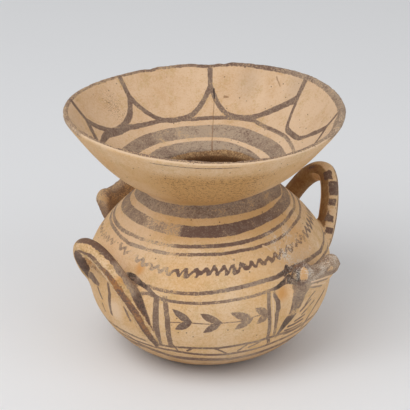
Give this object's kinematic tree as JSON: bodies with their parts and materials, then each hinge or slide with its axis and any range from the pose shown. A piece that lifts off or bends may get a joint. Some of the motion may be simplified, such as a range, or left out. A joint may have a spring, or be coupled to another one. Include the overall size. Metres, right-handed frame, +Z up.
{
  "type": "pottery olla",
  "caption": "Round-bellied hollow clay jar with a wide funnel mouth, upright loop handles and eared lugs, painted with dark bands, festoons, a zigzag and a leafy branch.",
  "frame": {"origin": "under the middle of the flat base, at the level that the jar stands on", "axes": "+Z up along the jar's axis; -Y is the front, with the painted panel; +X is the right-hand side"},
  "size_m": [0.2428, 0.2409, 0.2237],
  "materials": {
    "painted_clay": "matt buff slip on fired clay with worn dark brown painted bands, unglazed"
  },
  "bodies": {
    "root": {"olla": "painted_clay"}
  },
  "joints": []
}
